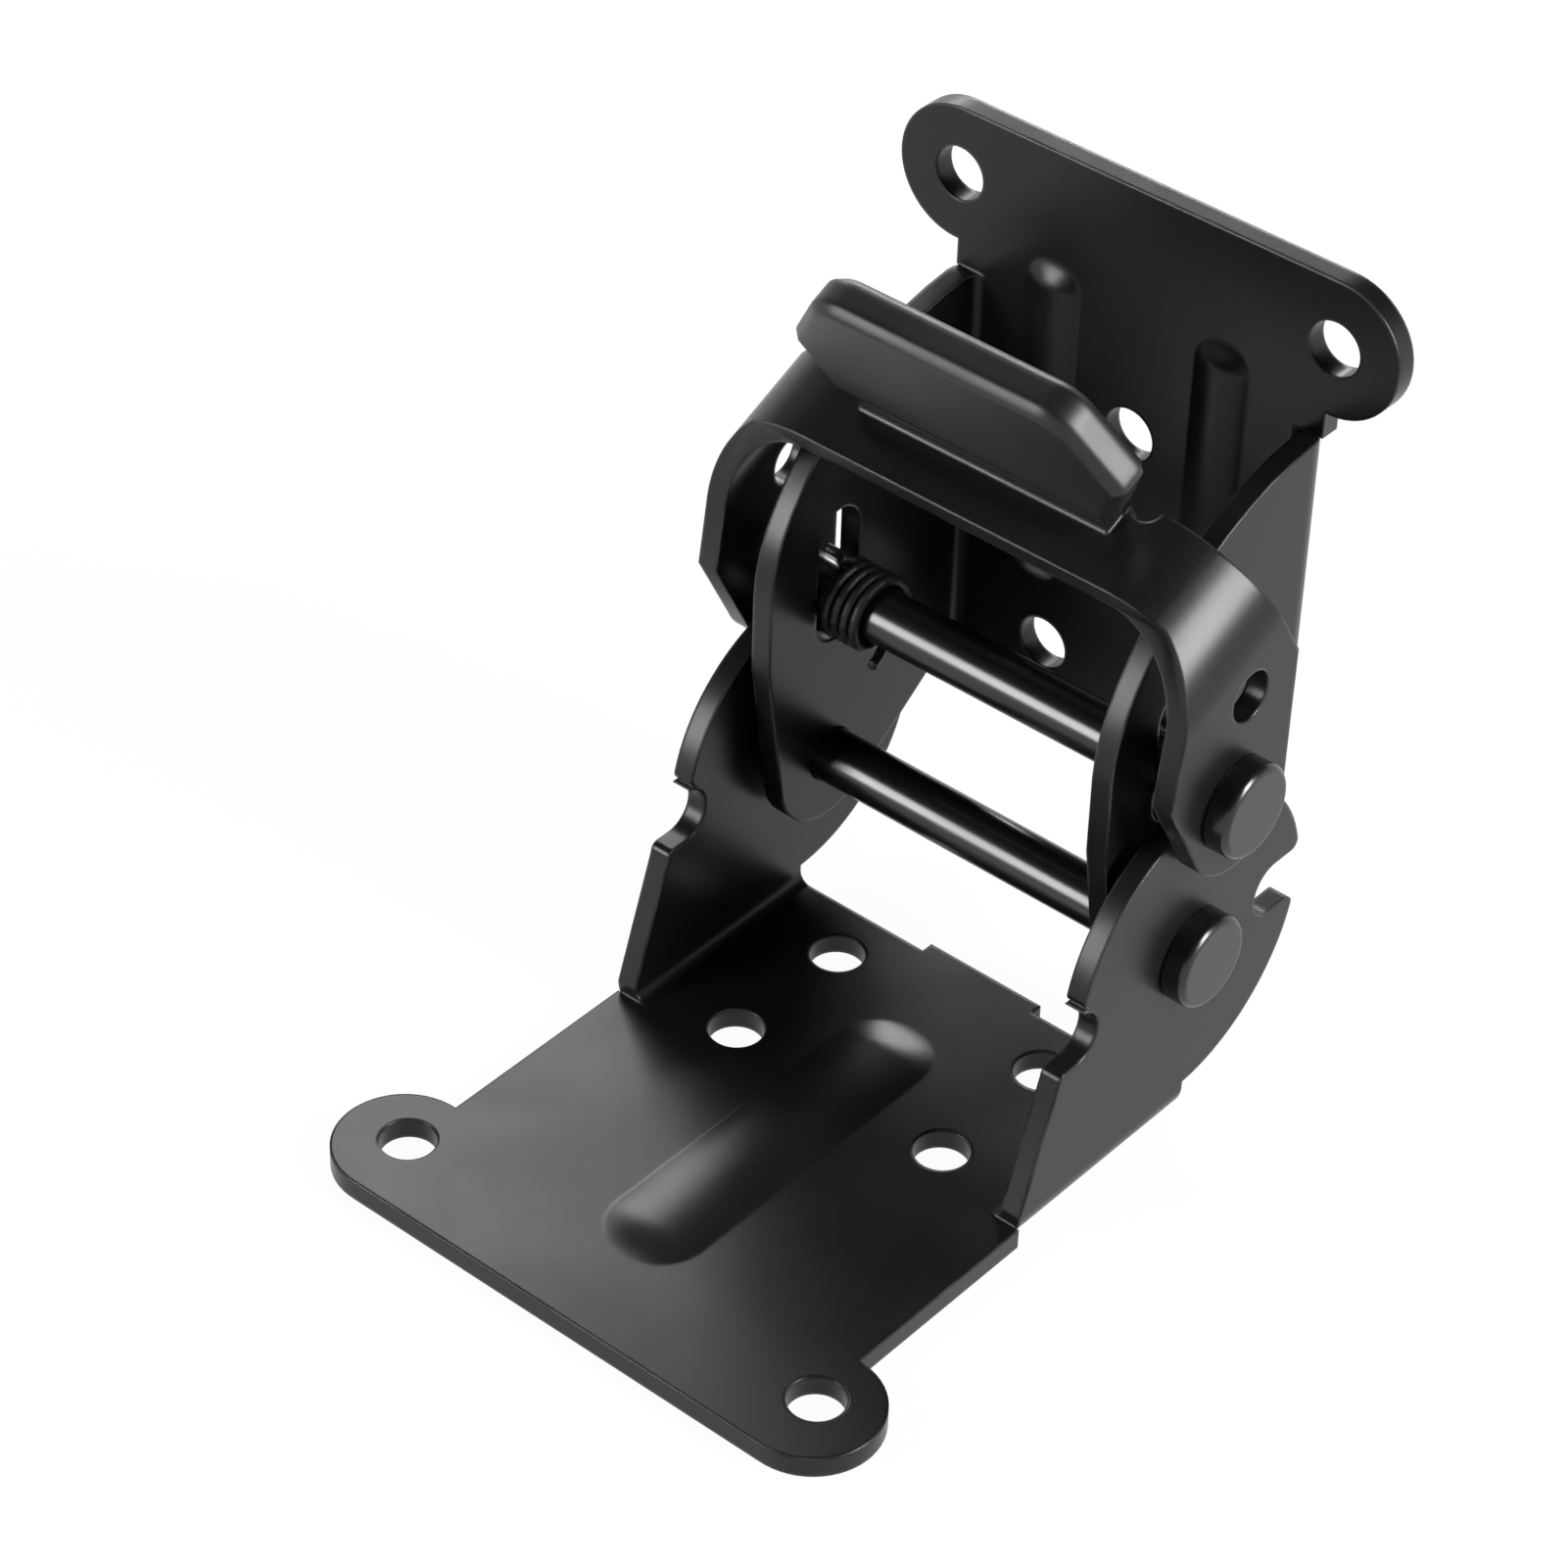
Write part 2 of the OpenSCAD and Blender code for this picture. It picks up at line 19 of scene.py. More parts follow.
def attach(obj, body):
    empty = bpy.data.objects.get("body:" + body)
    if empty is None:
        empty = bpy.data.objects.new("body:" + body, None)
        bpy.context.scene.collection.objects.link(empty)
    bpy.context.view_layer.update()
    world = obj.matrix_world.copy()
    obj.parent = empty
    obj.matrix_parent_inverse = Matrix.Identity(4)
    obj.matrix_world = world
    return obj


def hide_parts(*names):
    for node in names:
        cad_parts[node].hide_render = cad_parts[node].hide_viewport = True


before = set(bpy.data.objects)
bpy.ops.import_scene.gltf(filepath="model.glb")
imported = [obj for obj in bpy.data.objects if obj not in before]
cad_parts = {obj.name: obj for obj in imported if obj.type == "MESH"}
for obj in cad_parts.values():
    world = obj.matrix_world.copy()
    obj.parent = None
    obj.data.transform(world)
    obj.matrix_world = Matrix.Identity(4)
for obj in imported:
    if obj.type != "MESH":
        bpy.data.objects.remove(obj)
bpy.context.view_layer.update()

LOG = logging.getLogger("leg_hinge")
MM = 0.001
HINGE_MIDDLE = (0.0, 0.04, 0.045)

# Octaves of the fine grain, of the slow waves and of the wide patches of a coat
GRAIN_DETAIL, WAVE_DETAIL, PATCH_DETAIL = 3.0, 2.0, 4.0
# Range of the patch noise over which the roughness wanders
PATCH_RANGE = (0.2, 0.8)
# Range of the wave noise that breaks the lighter edges, wear with a painted highlight,
# into spots
SPOT_RANGE = (0.38, 0.62)
# Cosine between a face and its softened edge, where the lighter edge colour, wear with
# a painted highlight, starts and where it is full
RUB_AND_HIGHLIGHT_RANGE = (0.995, 0.80)
# Rays that look for the edges near a point
EDGE_SAMPLES = 8

# Slack in height and to the side when a bead's own points are picked, and the height
# from which a point counts as raised
BEAD_HEIGHT_SLACK_MM, BEAD_SIDE_SLACK_MM, RAISED_MM = 0.01, 0.02, 0.02
# Width of the small face that closes a bead's crest, as a share of its outline
CREST_SHARE = 0.015
# Points closer than this are one point, and flatter edges than this are no edges
WELD_MM, FLAT_DEG = 0.002, 0.6
# How much more a large face counts than a small one in the shading of an edge
LARGE_FACE_WEIGHT = 100

Triple = tuple[float, float, float]
Source = bpy.types.NodeSocket | float | tuple[float, ...]


class Slot(Enum):
    """The material slots of the hinge."""

    SHEET = "painted_sheet"
    PIN = "painted_pin"
    SPACER = "spacer"
    WIRE = "spring_wire"
    GRIP = "grip_plastic"


class Body(Enum):
    """The moving groups of the hinge."""

    BASE = "base"
    LEG = "leg"
    LEVER = "lever"


class Ease(Enum):
    """How a value runs from one end of a range to the other."""

    EVEN = "LINEAR"
    SOFT = "SMOOTHSTEP"
    SOFTER = "SMOOTHERSTEP"


@dataclass(frozen=True)
class NodeTable:
    """The node tree of a finish or of the surround, with short ways to add to it.

    Args:
        tree: The node tree.
    """

    tree: bpy.types.NodeTree

    def feed(self, node: bpy.types.Node, values: dict[str | int, Source]) -> None:
        """Sets or links sockets of a node.

        Args:
            node: The node.
            values: For each socket, a number, a colour or the output that feeds it.
        """
        for socket, value in values.items():
            if isinstance(value, bpy.types.NodeSocket):
                self.tree.links.new(value, node.inputs[socket])
            else:
                node.inputs[socket].default_value = value

    def add(
        self, kind: str, values: dict[str | int, Source], **settings: str | int
    ) -> bpy.types.Node:
        """Adds a node.

        Args:
            kind: Blender's name of the node type.
            values: What its sockets get.
            settings: Its own settings, such as an operation.

        Returns:
            The new node.
        """
        node = self.tree.nodes.new(kind)
        for setting, choice in settings.items():
            setattr(node, setting, choice)
        self.feed(node, values)
        return node

    def noise(self, size_mm: float, detail: float) -> bpy.types.NodeSocket:
        """Adds a noise that stays with the piece as it moves.

        Args:
            size_mm: Width of its features.
            detail: Octaves of finer noise in it.

        Returns:
            The output of the noise, from 0 to 1.
        """
        place = self.add("ShaderNodeTexCoord", {}).outputs["Object"]
        values = {"Scale": 1.0 / (size_mm * MM), "Detail": detail, "Vector": place}
        return self.add("ShaderNodeTexNoise", values).outputs["Fac"]

    def ramp(
        self,
        value: bpy.types.NodeSocket,
        span: tuple[float, float],
        result: tuple[float, float],
        ease: Ease = Ease.EVEN,
    ) -> bpy.types.NodeSocket:
        """Turns one range of a value into another, held at both ends.

        Args:
            value: The value.
            span: The range that is read.
            result: The range that comes out.
            ease: How it runs between the ends.

        Returns:
            The output of the new node.
        """
        values = {
            "Value": value,
            "From Min": span[0],
            "From Max": span[1],
            "To Min": result[0],
            "To Max": result[1],
        }
        node = self.add("ShaderNodeMapRange", values, interpolation_type=ease.value)
        return node.outputs["Result"]

    def combine(
        self, operation: str, first: Source, second: Source
    ) -> bpy.types.NodeSocket:
        """Combines two values by arithmetic.

        Args:
            operation: Blender's name of the operation.
            first: The first value.
            second: The second value.

        Returns:
            The output of the new node.
        """
        values = {0: first, 1: second}
        node = self.add("ShaderNodeMath", values, operation=operation)
        return node.outputs["Value"]

    def blend(
        self, share: bpy.types.NodeSocket, start: Source, end: Source
    ) -> bpy.types.NodeSocket:
        """Blends two colours.

        Args:
            share: Share of the second colour.
            start: The first colour.
            end: The second colour.

        Returns:
            The output of the new node.
        """
        values = {"Factor": share, "A": start, "B": end}
        node = self.add("ShaderNodeMix", values, data_type="RGBA")
        return node.outputs["Result"]

    def bump(
        self,
        height: bpy.types.NodeSocket,
        depth_mm: float,
        normal: bpy.types.NodeSocket,
    ) -> bpy.types.NodeSocket:
        """Roughens a surface by a height.

        Args:
            height: The height, from 0 to 1.
            depth_mm: Depth from the lowest point to the highest.
            normal: Direction of the surface before.

        Returns:
            The direction of the surface after.
        """
        values = {
            "Height": height,
            "Strength": 1.0,
            "Distance": depth_mm * MM,
            "Normal": normal,
        }
        return self.add("ShaderNodeBump", values).outputs["Normal"]


@dataclass(frozen=True)
class Finish:
    """A painted, plated or moulded surface with grain, tone drift and lighter edges,
    which are wear with a painted highlight.

    Args:
        name: Name of the material.
        tone: Linear colour of the clean surface.
        rubbed_and_highlight: Linear colour of the edges, where wear and a painted
            highlight show.
        roughness: Mean roughness.
        roughness_drift: How far the roughness wanders round its mean.
        metallic: Metallic share of the shader.
        specular: Specular level of the shader.
        grain_mm: Size of the fine grain.
        grain_depth_mm: Depth of the fine grain.
        wave_mm: Size of the slow waves in the coat.
        wave_depth_mm: Depth of the slow waves.
        patch_mm: Size of the patches over which tone and roughness wander.
        tone_drift: How far the tone wanders, as a share of itself.
        edge_mm: Width over which an edge looks rounded and takes the lighter edge
            colour.
        edge_wear_and_highlight: Strength of the lighter edges, wear with a painted
            highlight.
    """

    name: str
    tone: Triple
    rubbed_and_highlight: Triple
    roughness: float
    roughness_drift: float = 0.06
    metallic: float = 0.0
    specular: float = 0.5
    grain_mm: float = 0.35
    grain_depth_mm: float = 0.004
    wave_mm: float = 5.0
    wave_depth_mm: float = 0.01
    patch_mm: float = 14.0
    tone_drift: float = 0.22
    edge_mm: float = 0.35
    edge_wear_and_highlight: float = 0.5

    def material(self) -> bpy.types.Material:
        """Gives the material of this finish, which is built on its first use.

        Returns:
            The material.
        """
        known = bpy.data.materials.get(self.name)
        if known:
            return known
        mat = bpy.data.materials.new(self.name)
        mat.use_nodes = True
        table = NodeTable(mat.node_tree)
        grain = table.noise(self.grain_mm, GRAIN_DETAIL)
        wave = table.noise(self.wave_mm, WAVE_DETAIL)
        patch = table.noise(self.patch_mm, PATCH_DETAIL)
        soft_edge = table.add(
            "ShaderNodeBevel", {"Radius": self.edge_mm * MM}, samples=EDGE_SAMPLES
        ).outputs["Normal"]
        swells = table.bump(wave, self.wave_depth_mm, soft_edge)
        least = self.roughness - self.roughness_drift
        most = self.roughness + self.roughness_drift
        table.feed(
            table.tree.nodes["Principled BSDF"],
            {
                "Metallic": self.metallic,
                "Specular IOR Level": self.specular,
                "Roughness": table.ramp(patch, PATCH_RANGE, (least, most), Ease.SOFTER),
                "Base Color": self.colour(table, patch, wave, soft_edge),
                "Normal": table.bump(grain, self.grain_depth_mm, swells),
            },
        )
        return mat

    def colour(
        self,
        table: NodeTable,
        patch: bpy.types.NodeSocket,
        wave: bpy.types.NodeSocket,
        soft_edge: bpy.types.NodeSocket,
    ) -> bpy.types.NodeSocket:
        """Lays the drifting tone, and over it the lighter edges, which are wear with a
        painted highlight.

        Args:
            table: Node tree of the material.
            patch: Noise of the wide patches.
            wave: Noise of the slow waves.
            soft_edge: Direction of the surface with softened edges.

        Returns:
            The colour of the surface.
        """
        darker = tuple(c * (1.0 - self.tone_drift) for c in self.tone)
        lighter = tuple(c * (1.0 + self.tone_drift) for c in self.tone)
        clean = table.blend(patch, (*darker, 1.0), (*lighter, 1.0))
        face = table.add("ShaderNodeNewGeometry", {}).outputs["Normal"]
        bend = table.add(
            "ShaderNodeVectorMath", {0: soft_edge, 1: face}, operation="DOT_PRODUCT"
        ).outputs["Value"]
        # Lighter colour at the edges: partly wear, partly a painted highlight along
        # them
        edge = table.ramp(bend, RUB_AND_HIGHLIGHT_RANGE, (0.0, self.edge_wear_and_highlight))
        spots = table.ramp(wave, SPOT_RANGE, (0.0, 1.0), Ease.SOFT)
        wear_and_highlight = table.combine("MULTIPLY", edge, spots)
        return table.blend(wear_and_highlight, clean, (*self.rubbed_and_highlight, 1.0))


SHEET_PAINT = Finish(
    name="satin_black_sheet",
    tone=(0.005, 0.005, 0.0052),
    # Edge colour far lighter than the tone: wear and a painted highlight along the
    # sheet's edges
    rubbed_and_highlight=(0.09, 0.09, 0.092),
    roughness=0.315,
    roughness_drift=0.035,
    specular=0.28,
    edge_mm=0.45,
)
PIN_PAINT = Finish(
    name="satin_black_pin",
    tone=(0.005, 0.005, 0.0052),
    rubbed_and_highlight=(0.04, 0.04, 0.041),
    roughness=0.24,
    roughness_drift=0.02,
    grain_depth_mm=0.002,
    wave_depth_mm=0.004,
)
SPACER_STEEL = Finish(
    name="dull_spacer",
    tone=(0.03, 0.03, 0.031),
    rubbed_and_highlight=(0.1, 0.1, 0.1),
    roughness=0.42,
    metallic=0.4,
)
WIRE_STEEL = Finish(
    name="blackened_wire",
    tone=(0.008, 0.008, 0.0083),
    rubbed_and_highlight=(0.03, 0.03, 0.03),
    roughness=0.45,
    metallic=0.1,
    specular=0.3,
    grain_mm=0.2,
    grain_depth_mm=0.002,
)
GRIP_COAT = Finish(
    name="dipped_grip",
    tone=(0.008, 0.008, 0.0083),
    rubbed_and_highlight=(0.014, 0.014, 0.014),
    roughness=0.4,
    roughness_drift=0.04,
    specular=0.36,
    grain_mm=0.25,
    grain_depth_mm=0.003,
    wave_mm=7.0,
    wave_depth_mm=0.02,
    edge_mm=0.9,
    edge_wear_and_highlight=0.1,
)


@dataclass(frozen=True)
class PressedBead:
    """A long round-ended bead that is pressed out of a plate.

    Args:
        start_mm: Middle of the round at one end, on the plate's face.
        end_mm: Middle of the round at the other end.
        out: Direction in which the bead stands.
        width_mm: Width of the bead.
        height_mm: Height of the bead.
        rings: Rings of faces from the foot to the crest.
    """

    start_mm: Triple
    end_mm: Triple
    out: Triple
    width_mm: float
    height_mm: float
    rings: int = 14

    def nearest(self, point: Vector) -> Vector:
        """Finds the point of the bead's middle line that is nearest to a point.

        Args:
            point: Any point, in metres.

        Returns:
            The nearest point of the middle line.
        """
        start, end = Vector(self.start_mm) * MM, Vector(self.end_mm) * MM
        run = end - start
        along = max(0.0, min(1.0, (point - start).dot(run) / run.length_squared))
        return start + along * run

    def height(self, point: Vector) -> float:
        """Measures how far a point stands out of the plate, in metres."""
        return (point - self.nearest(point)).dot(Vector(self.out))

    def holds(self, point: Vector) -> bool:
        """Tells whether a point is on the foot of the bead or above it.

        Args:
            point: Any point, in metres.

        Returns:
            True where it is.
        """
        height = self.height(point)
        aside = (point - self.nearest(point) - height * Vector(self.out)).length
        reach = self.width_mm / 2 + BEAD_SIDE_SLACK_MM
        return -BEAD_HEIGHT_SLACK_MM * MM < height and aside < reach * MM

    def raised(self, foot: Vector, share: float) -> Vector:
        """Lifts a point of the bead, arched at its sides and eased at its two ends.

        Args:
            foot: Point on the bead's outline.
            share: Distance from the middle line, as a share of the foot's.

        Returns:
            The point on the bead's surface.
        """
        middle = self.nearest(foot)
        aside = foot - middle
        run = (Vector(self.end_mm) - Vector(self.start_mm)).normalized()
        endwise = abs(aside.normalized().dot(run))
        arched = 1.0 - share**2
        eased = 0.5 + 0.5 * math.cos(math.pi * share)
        rise = arched + (eased - arched) * endwise**2
        return middle + aside * share + Vector(self.out) * (self.height_mm * MM * rise)

    def crown(self, work: bmesh.types.BMesh) -> None:
        """Replaces the bead's faces with rings that rise to a soft crest.

        Args:
            work: The plate's mesh, welded.
        """
        old = [
            face
            for face in work.faces
            if all(self.holds(vert.co) for vert in face.verts)
            and any(self.height(vert.co) > RAISED_MM * MM for vert in face.verts)
        ]
        bmesh.ops.delete(work, geom=old, context="FACES")
        rim = [
            edge
            for edge in work.edges
            if edge.is_boundary and all(self.holds(vert.co) for vert in edge.verts)
        ]
        foot = self.ordered(rim)
        rings = [foot]
        for ring in range(1, self.rings + 1):
            share = max(CREST_SHARE, 1.0 - ring / self.rings)
            rings.append([work.verts.new(self.raised(v.co, share)) for v in foot])
        count = len(foot)
        for low, high in zip(rings, rings[1:]):
            for k in range(count):
                after = (k + 1) % count
                work.faces.new((low[k], low[after], high[after], high[k]))
        work.faces.new(rings[-1])
        LOG.info("bead: %d faces became %d", len(old), count * self.rings + 1)

    @staticmethod
    def ordered(rim: list[bmesh.types.BMEdge]) -> list[bmesh.types.BMVert]:
        """Puts the vertices of a closed rim in order.

        Args:
            rim: Edges of the rim.

        Returns:
            Its vertices, one after the other.
        """
        here = rim[0].verts[0]
        loop, left = [], set(rim)
        while left:
            loop.append(here)
            step = next(edge for edge in here.link_edges if edge in left)
            left.discard(step)
            here = step.other_vert(here)
        return loop


@dataclass(frozen=True)
class SoftenedPart:
    """A piece that is made from a solid of the frame, with soft edges and beads.

    Args:
        node: Name of the solid.
        body: Group that it moves with.
        slot: Material slot of its finish; not used.
        edge_mm: Radius of the rounded edges, or 0 where the finish alone softens them.
        segments: Faces across a rounded edge.
        crease_deg: Angle from which an edge counts as sharp.
        beads: Beads that are pressed into the plate.
    """

    node: str
    body: Body
    slot: Slot
    edge_mm: float = 0.0
    segments: int = 2
    crease_deg: float = 32.0
    beads: tuple[PressedBead, ...] = ()

    def mesh(self) -> bpy.types.Mesh:
        """Copies the solid's mesh, clears its flat faces and shapes its beads.

        Returns:
            The new mesh.
        """
        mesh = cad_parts[self.node].data.copy()
        mesh.materials.clear()
        work = bmesh.new()
        work.from_mesh(mesh)
        bmesh.ops.remove_doubles(work, verts=work.verts, dist=WELD_MM * MM)
        bmesh.ops.dissolve_limit(
            work,
            angle_limit=math.radians(FLAT_DEG),
            verts=work.verts,
            edges=work.edges,
            use_dissolve_boundaries=False,
        )
        for bead in self.beads:
            bead.crown(work)
        bmesh.ops.recalc_face_normals(work, faces=work.faces)
        work.to_mesh(mesh)
        work.free()
        mesh.update()
        return mesh

    def build(self, finish: Finish) -> None:
        """Makes the piece and lets it stand for its solid.

        Args:
            finish: Surface of the piece.
        """
        piece = bpy.data.objects.new(f"{self.node}_finished", self.mesh())
        bpy.context.scene.collection.objects.link(piece)
        for poly in piece.data.polygons:
            poly.use_smooth = True
        crease = math.radians(self.crease_deg)
        if self.edge_mm:
            soften = piece.modifiers.new("edges", "BEVEL")
            soften.width = self.edge_mm * MM
            soften.segments = self.segments
            soften.limit_method = "ANGLE"
            soften.angle_limit = crease
            soften.use_clamp_overlap = True
            soften.miter_outer = "MITER_ARC"
        else:
            piece.data.set_sharp_from_angle(angle=crease)
        even = piece.modifiers.new("shading", "WEIGHTED_NORMAL")
        even.keep_sharp = True
        even.weight = LARGE_FACE_WEIGHT
        piece.data.materials.append(finish.material())
        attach(piece, self.body.value)
        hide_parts(self.node)
        LOG.info("%s: %d faces", piece.name, len(piece.data.polygons))


def coat(node: str, finish: Finish) -> None:
    """Gives a solid of the frame a finish, without touching its mesh.

    Args:
        node: Name of the solid.
        finish: Its surface.
    """
    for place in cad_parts[node].material_slots:
        place.material = finish.material()
    LOG.info("%s: coated", node)


@dataclass(frozen=True)
class BaseAssembly:
    """The base bracket with the pivot pin and the two spacers on it.

    Args:
        pin_edge_mm: Radius of the pin's edges.
        bead: The bead in the middle of the base plate.
    """

    pin_edge_mm: float = 0.16
    bead: PressedBead = PressedBead(
        start_mm=(0.0, 6.4, 2.0),
        end_mm=(0.0, 35.2, 2.0),
        out=(0.0, 0.0, 1.0),
        width_mm=9.6,
        height_mm=0.7,
    )

    def build(self) -> None:
        """Builds the pieces of the base."""
        bracket = SoftenedPart(
            "base_bracket", Body.BASE, Slot.SHEET, beads=(self.bead,)
        )
        bracket.build(SHEET_PAINT)
        pin = SoftenedPart("pivot_pin", Body.BASE, Slot.PIN, self.pin_edge_mm)
        pin.build(PIN_PAINT)
        for side in ("left", "right"):
            coat(f"pivot_spacer_{side}", SPACER_STEEL)


@dataclass(frozen=True)
class LegAssembly:
    """The leg bracket.

    Args:
        bead_x_mm: Distance of each bead from the middle of the plate.
        bead_width_mm: Width of a bead.
        bead_height_mm: Height of a bead.
        bead_low_mm: Height of the middle of a bead's lower round.
        bead_high_mm: Height of the middle of its upper round.
        plate_y_mm: Place of the plate's inner face.
    """

    bead_x_mm: float = 8.8
    bead_width_mm: float = 5.8
    bead_height_mm: float = 0.8
    bead_low_mm: float = 35.7
    bead_high_mm: float = 62.9
    plate_y_mm: float = 64.6

    def bead(self, side: int) -> PressedBead:
        """Gives the bead on one side of the leg plate.

        Args:
            side: -1 for the left bead, 1 for the right one.

        Returns:
            The bead.
        """
        x_mm = side * self.bead_x_mm
        return PressedBead(
            start_mm=(x_mm, self.plate_y_mm, self.bead_low_mm),
            end_mm=(x_mm, self.plate_y_mm, self.bead_high_mm),
            out=(0.0, -1.0, 0.0),
            width_mm=self.bead_width_mm,
            height_mm=self.bead_height_mm,
        )

    def build(self) -> None:
        """Builds the leg bracket."""
        beads = (self.bead(-1), self.bead(1))
        bracket = SoftenedPart("leg_bracket", Body.LEG, Slot.SHEET, beads=beads)
        bracket.build(SHEET_PAINT)


@dataclass(frozen=True)
class LeverAssembly:
    """The pull lever with its grip, lock pin and spring.

    Args:
        pin_edge_mm: Radius of the pin's edges.
        grip_edge_mm: Radius of the grip's edges.
        grip_segments: Faces across an edge of the grip.
        grip_crease_deg: Angle from which an edge of the grip is rounded.
    """

    pin_edge_mm: float = 0.16
    grip_edge_mm: float = 0.6
    grip_segments: int = 4
    grip_crease_deg: float = 15.0

    def build(self) -> None:
        """Builds the pieces of the lever."""
        lever = SoftenedPart("release_lever", Body.LEVER, Slot.SHEET)
        lever.build(SHEET_PAINT)
        pin = SoftenedPart("lock_pin", Body.LEVER, Slot.PIN, self.pin_edge_mm)
        pin.build(PIN_PAINT)
        grip = SoftenedPart(
            "lever_grip",
            Body.LEVER,
            Slot.GRIP,
            self.grip_edge_mm,
            self.grip_segments,
            self.grip_crease_deg,
        )
        grip.build(GRIP_COAT)
        coat("lock_spring", WIRE_STEEL)


@dataclass(frozen=True)
class Viewpoint:
    """The camera, at the place that was measured for it.

    Args:
        focal_px: Focal length for a frame of frame_px pixels.
        frame_px: Side of the square frame.
        azimuth: Bearing of the camera, in radians.
        elevation: Height of the camera over the horizon, in radians.
        roll: Turn of the camera about its axis, in radians.
        eye_mm: Place of the camera.
        sensor_mm: Width of its sensor.
        near: Distance from which it sees, in metres.
        far: Distance up to which it sees, in metres.
    """

    focal_px: float = 5206.2
    frame_px: float = 1601.0
    azimuth: float = 0.690903
    elevation: float = 0.674790
    roll: float = -0.032558
    eye_mm: Triple = (203.10, -224.78, 295.52)
    sensor_mm: float = 36.0
    near: float = 0.01
    far: float = 20.0

    def turn(self) -> Matrix:
        """Works out how the camera is turned.

        Returns:
            The turn, from the camera's own axes to the room's.
        """
        level = math.cos(self.elevation)
        ahead = Vector(
            (
                -math.sin(self.azimuth) * level,
                math.cos(self.azimuth) * level,
                -math.sin(self.elevation),
            )
        )
        right = ahead.cross(Vector((0.0, 0.0, 1.0))).normalized()
        down = ahead.cross(right)
        cos_r, sin_r = math.cos(self.roll), math.sin(self.roll)
        across = cos_r * right + sin_r * down
        below = -sin_r * right + cos_r * down
        return Matrix((across, -below, -ahead)).transposed().to_4x4()

    def build(self) -> None:
        """Stands the camera in its place."""
        lens = bpy.data.cameras.new("view")
        lens.sensor_fit = "HORIZONTAL"
        lens.sensor_width = self.sensor_mm
        lens.lens = self.focal_px / self.frame_px * self.sensor_mm
        lens.clip_start = self.near
        lens.clip_end = self.far
        eye = bpy.data.objects.new("view", lens)
        place = Matrix.Translation(Vector(self.eye_mm) * MM)
        eye.matrix_world = place @ self.turn()
        bpy.context.scene.collection.objects.link(eye)
        bpy.context.scene.camera = eye


@dataclass(frozen=True)
class PaleFloor:
    """The floor, which the camera and every shine see as nearly plain white.

    Args:
        half: Half of its side, in metres.
        rows: Rows of its faces each way.
        middle: Its middle, in metres.
        tones: Its two tones, which drift into each other.
        spots: Spots of the drift along one side.
        roughness: Its roughness.
        specular: Its specular level.
        white: Share of plain white in what camera and shines see.
    """

    half: float = 1.5
    rows: int = 6
    middle: Triple = (0.0, 0.03, -0.0001)
    tones: tuple[float, float] = (0.80, 0.84)
    spots: float = 60.0
    roughness: float = 0.9
    specular: float = 0.1
    white: float = 0.96

    def material(self) -> bpy.types.Material:
        """Builds the floor's material.

        Returns:
            The new material.
        """
        mat = bpy.data.materials.new("pale_floor")
        mat.use_nodes = True
        table = NodeTable(mat.node_tree)
        nodes = table.tree.nodes
        matt = nodes["Principled BSDF"]
        spot = table.add("ShaderNodeTexNoise", {"Scale": self.spots}).outputs["Fac"]
        low, high = ((tone, tone, tone, 1.0) for tone in self.tones)
        values = {
            "Base Color": table.blend(spot, low, high),
            "Roughness": self.roughness,
            "Specular IOR Level": self.specular,
        }
        table.feed(matt, values)
        white = {"Color": (1.0, 1.0, 1.0, 1.0), "Strength": 1.0}
        glow = table.add("ShaderNodeEmission", white)
        ray = table.add("ShaderNodeLightPath", {}).outputs
        seen = table.combine("MAXIMUM", ray["Is Camera Ray"], ray["Is Glossy Ray"])
        seen = table.combine("MAXIMUM", seen, ray["Is Transmission Ray"])
        share = table.combine("MULTIPLY", seen, self.white)
        values = {
            "Fac": share,
            1: matt.outputs["BSDF"],
            2: glow.outputs["Emission"],
        }
        both = table.add("ShaderNodeMixShader", values)
        table.feed(nodes["Material Output"], {"Surface": both.outputs["Shader"]})
        return mat

    def build(self) -> None:
        """Lays the floor under the hinge."""
        mesh = bpy.data.meshes.new("floor")
        grid = bmesh.new()
        rows = self.rows
        bmesh.ops.create_grid(grid, x_segments=rows, y_segments=rows, size=self.half)
        bmesh.ops.translate(grid, verts=grid.verts, vec=Vector(self.middle))
        grid.to_mesh(mesh)
        grid.free()
        mesh.materials.append(self.material())
        floor = bpy.data.objects.new("floor", mesh)
        bpy.context.scene.collection.objects.link(floor)


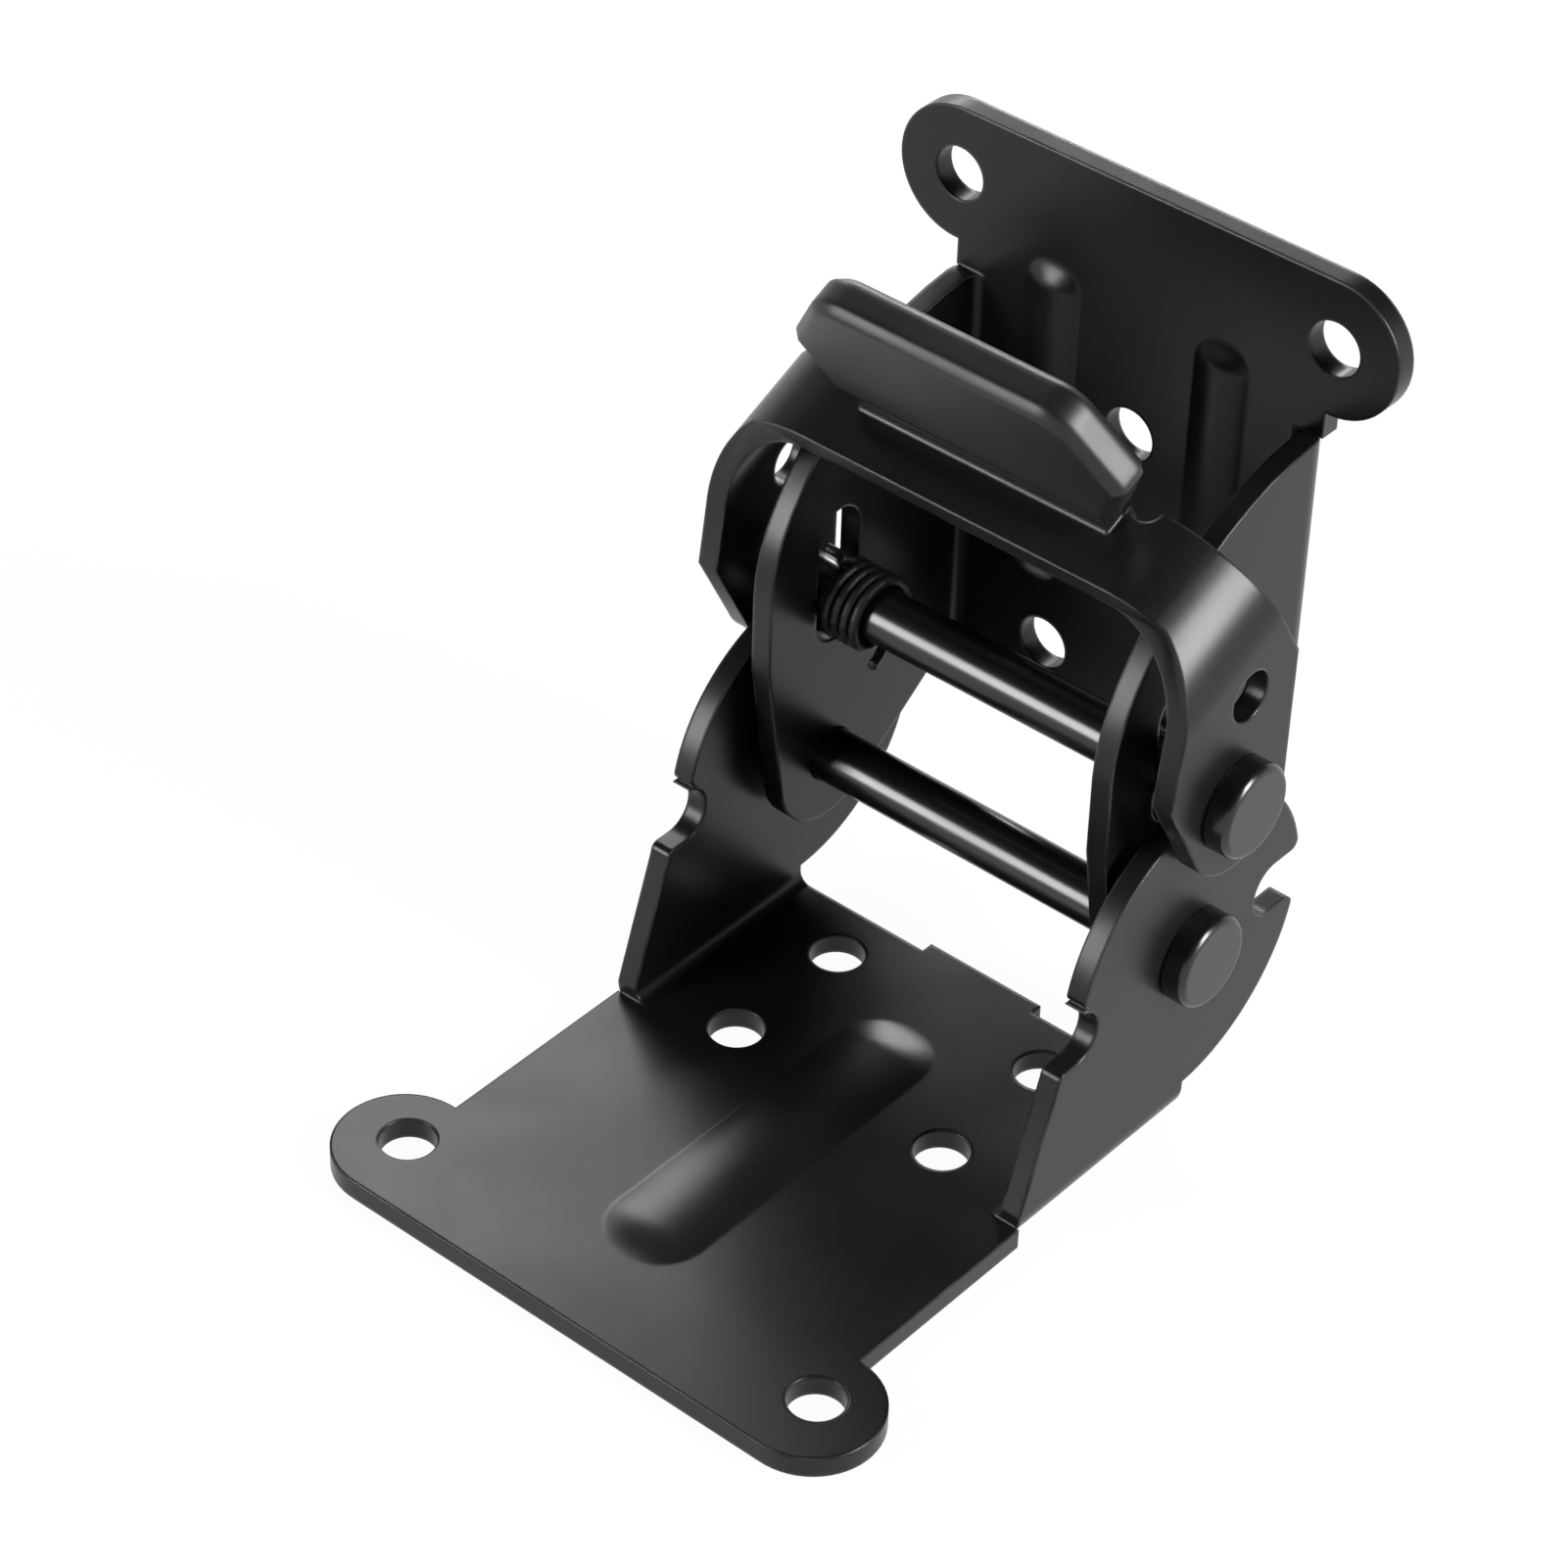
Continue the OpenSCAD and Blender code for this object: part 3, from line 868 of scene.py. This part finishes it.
@dataclass(frozen=True)
class Surround:
    """The room, white at the horizon and dark overhead like a studio ceiling.

    Args:
        heights: Where the white ends and the dark starts, as heights of a view's
            direction from 0 at the horizon to 1 overhead.
        levels: Strength of the white and of the dark.
    """

    heights: tuple[float, float] = (0.12, 0.45)
    levels: tuple[float, float] = (1.0, 0.06)

    def build(self) -> None:
        """Sets the surround of the scene."""
        world = bpy.data.worlds.new("surround")
        world.use_nodes = True
        table = NodeTable(world.node_tree)
        heading = table.add("ShaderNodeTexCoord", {}).outputs["Generated"]
        split = table.add("ShaderNodeSeparateXYZ", {"Vector": heading})
        level = table.ramp(split.outputs["Z"], self.heights, self.levels, Ease.SOFT)
        values = {"Color": (1.0, 1.0, 1.0, 1.0), "Strength": level}
        table.feed(table.tree.nodes["Background"], values)
        bpy.context.scene.world = world


@dataclass(frozen=True)
class Softbox:
    """A rectangular soft lamp.

    Args:
        name: Name of the lamp.
        place: Where it hangs, in metres.
        size: Its two sides, in metres.
        watts: Its power.
        aim: Point that it faces, in metres.
    """

    name: str
    place: Triple
    size: tuple[float, float]
    watts: float
    aim: Triple = HINGE_MIDDLE

    def build(self) -> None:
        """Hangs the lamp."""
        light = bpy.data.lights.new(self.name, "AREA")
        light.shape = "RECTANGLE"
        light.size, light.size_y = self.size
        light.energy = self.watts
        lamp = bpy.data.objects.new(self.name, light)
        lamp.location = self.place
        lamp.rotation_mode = "QUATERNION"
        ahead = Vector(self.aim) - Vector(self.place)
        lamp.rotation_quaternion = ahead.to_track_quat("-Z", "Y")
        bpy.context.scene.collection.objects.link(lamp)


@dataclass(frozen=True)
class Studio:
    """The camera, the floor, the surround and the lamps.

    Args:
        camera: The camera.
        floor: The floor.
        surround: The room round it.
        lamps: The soft lamps.
    """

    camera: Viewpoint = Viewpoint()
    floor: PaleFloor = PaleFloor()
    surround: Surround = Surround()
    lamps: tuple[Softbox, ...] = (
        Softbox(
            "back_softbox", (-0.30, 0.25, 0.27), (0.14, 0.22), 0.85, (-0.03, 0.0, 0.0)
        ),
        Softbox("rear_softbox", (-0.25, 0.45, 0.20), (0.16, 0.10), 0.7),
        Softbox("front_softbox", (-0.29, -0.45, 0.20), (0.17, 0.28), 2.8),
        Softbox("right_softbox", (0.50, 0.155, 0.28), (0.18, 0.34), 6.2),
    )

    def build(self) -> None:
        """Builds the whole studio."""
        for part in (self.camera, self.floor, self.surround, *self.lamps):
            part.build()


def main() -> None:
    """Builds the studio and the three assemblies, and logs each one when it is done."""
    logging.basicConfig(level=logging.INFO, format="%(name)s %(message)s")
    for assembly in (Studio(), BaseAssembly(), LegAssembly(), LeverAssembly()):
        assembly.build()
        LOG.info("%s done", type(assembly).__name__)
    bpy.context.scene.view_settings.view_transform = "Standard"
    bpy.context.view_layer.update()


if __name__ == "__main__":
    main()
